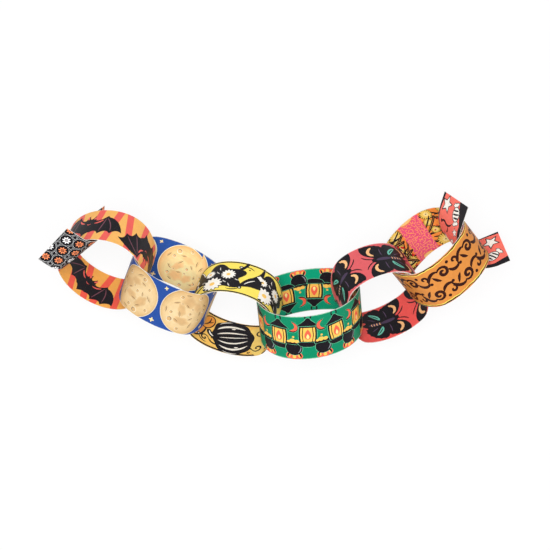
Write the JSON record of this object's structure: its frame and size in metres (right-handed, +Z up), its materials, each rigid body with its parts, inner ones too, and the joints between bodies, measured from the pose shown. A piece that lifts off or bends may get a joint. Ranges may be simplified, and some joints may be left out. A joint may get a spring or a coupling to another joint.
{
  "type": "paper chain garland",
  "caption": "Paper chain garland of printed paper strips curled through each other and glued, laid out in a shallow curve, with an open link at each end.",
  "frame": {"origin": "on the table, under the middle of the chain", "axes": "+X along the chain from the tile link to the scarlet link, +Y to the back of the table, +Z up"},
  "size_m": [0.414, 0.1507, 0.0964],
  "materials": {
    "link_1_tile": "printed paper, black with white and orange",
    "link_2_orange": "printed paper, orange with red stripes",
    "link_3_blue": "printed paper, blue with cream discs",
    "link_4_yellow": "printed paper, yellow with black figures",
    "link_5_green": "printed paper, green with small figures",
    "link_6_coral": "printed paper, coral with black figures",
    "link_7_amber": "printed paper, orange with black scrolls",
    "link_8_scarlet": "printed paper, coral with black and white ovals"
  },
  "bodies": {
    "root": {"link_1_tile": "link_1_tile", "link_2_orange": "link_2_orange", "link_3_blue": "link_3_blue", "link_4_yellow": "link_4_yellow", "link_5_green": "link_5_green", "link_6_coral": "link_6_coral", "link_7_amber": "link_7_amber", "link_8_scarlet": "link_8_scarlet"}
  },
  "joints": []
}
